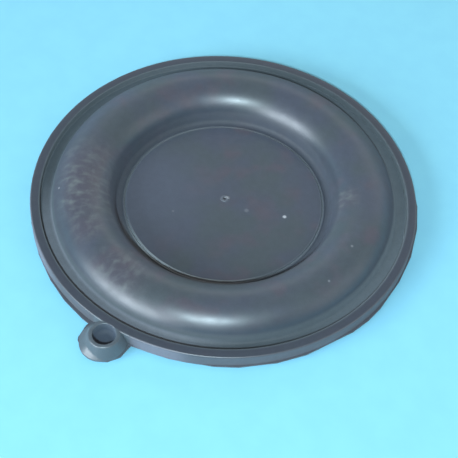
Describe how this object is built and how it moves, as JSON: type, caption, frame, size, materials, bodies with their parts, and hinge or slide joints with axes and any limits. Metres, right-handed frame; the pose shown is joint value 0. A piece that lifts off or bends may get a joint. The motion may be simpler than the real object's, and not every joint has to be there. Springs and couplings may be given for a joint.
{
  "type": "water heater diaphragm",
  "caption": "Round moulded rubber diaphragm: flat centre disc, raised annular roll, clamping rim with trimmed flash, and one small side ear with a blind cup.",
  "frame": {"origin": "on the diaphragm's axis, on the underside of the flat centre disc", "axes": "+Z along the diaphragm's axis, to the side on which the roll stands up; -Y towards the ear"},
  "size_m": [0.0731, 0.0793, 0.0069],
  "materials": {
    "rubber": "satin, slightly dusty"
  },
  "bodies": {
    "root": {"diaphragm": "rubber"}
  },
  "joints": []
}
